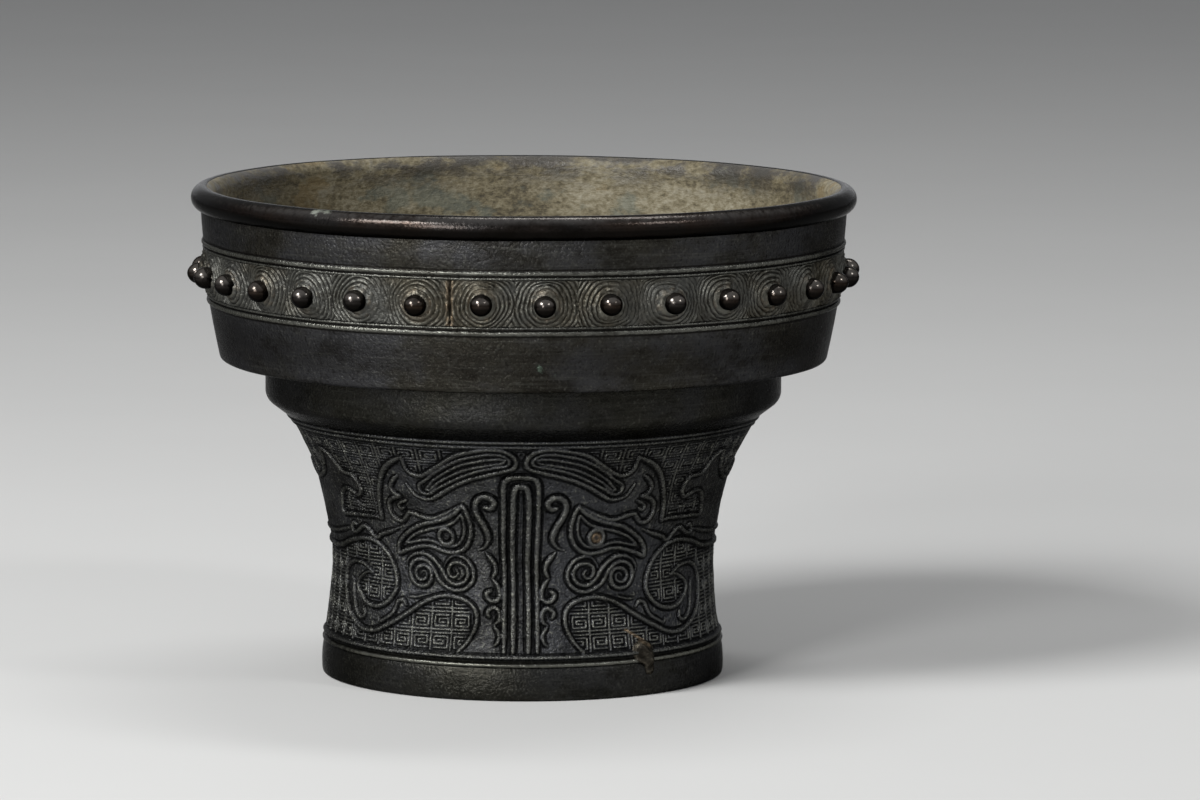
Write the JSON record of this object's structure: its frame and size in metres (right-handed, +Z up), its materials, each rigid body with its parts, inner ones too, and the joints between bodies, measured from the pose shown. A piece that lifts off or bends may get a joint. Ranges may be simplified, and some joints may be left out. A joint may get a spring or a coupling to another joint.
{
  "type": "bronze vase",
  "caption": "Round bronze vase: a wide shallow basin with a rolled rim and a band of domed bosses, on a waisted stem with a low-relief mask and a plain foot.",
  "frame": {"origin": "centre of the foot ring's underside, on the surface that the vase stands on", "axes": "+Z up along the vase's own axis; the nose ridge of the front mask faces -Y"},
  "size_m": [0.1516, 0.1516, 0.1105],
  "materials": {
    "dark_bronze": "dark brown-black patina, satin, olive inside",
    "polished_bronze": "dark reddish-brown patina, polished by handling",
    "bare_bronze": "thin brown patina, matt, with the cast skin showing"
  },
  "bodies": {
    "root": {"basin": "dark_bronze", "stem": "dark_bronze", "base_plate": "dark_bronze", "rim_bead": "polished_bronze", "casting_patch": "bare_bronze", "boss_01": "polished_bronze", "boss_02": "polished_bronze", "boss_03": "polished_bronze", "boss_04": "polished_bronze", "boss_05": "polished_bronze", "boss_06": "polished_bronze", "boss_07": "polished_bronze", "boss_08": "polished_bronze", "boss_09": "polished_bronze", "boss_10": "polished_bronze", "boss_11": "polished_bronze", "boss_12": "polished_bronze", "boss_13": "polished_bronze", "boss_14": "polished_bronze", "boss_15": "polished_bronze", "boss_16": "polished_bronze", "boss_17": "polished_bronze", "boss_18": "polished_bronze", "boss_19": "polished_bronze", "boss_20": "polished_bronze", "boss_21": "polished_bronze", "boss_22": "polished_bronze", "boss_23": "polished_bronze", "boss_24": "polished_bronze", "boss_25": "polished_bronze", "boss_26": "polished_bronze", "boss_27": "polished_bronze", "boss_28": "polished_bronze", "boss_29": "polished_bronze", "boss_30": "polished_bronze", "boss_31": "polished_bronze", "boss_32": "polished_bronze"}
  },
  "joints": []
}
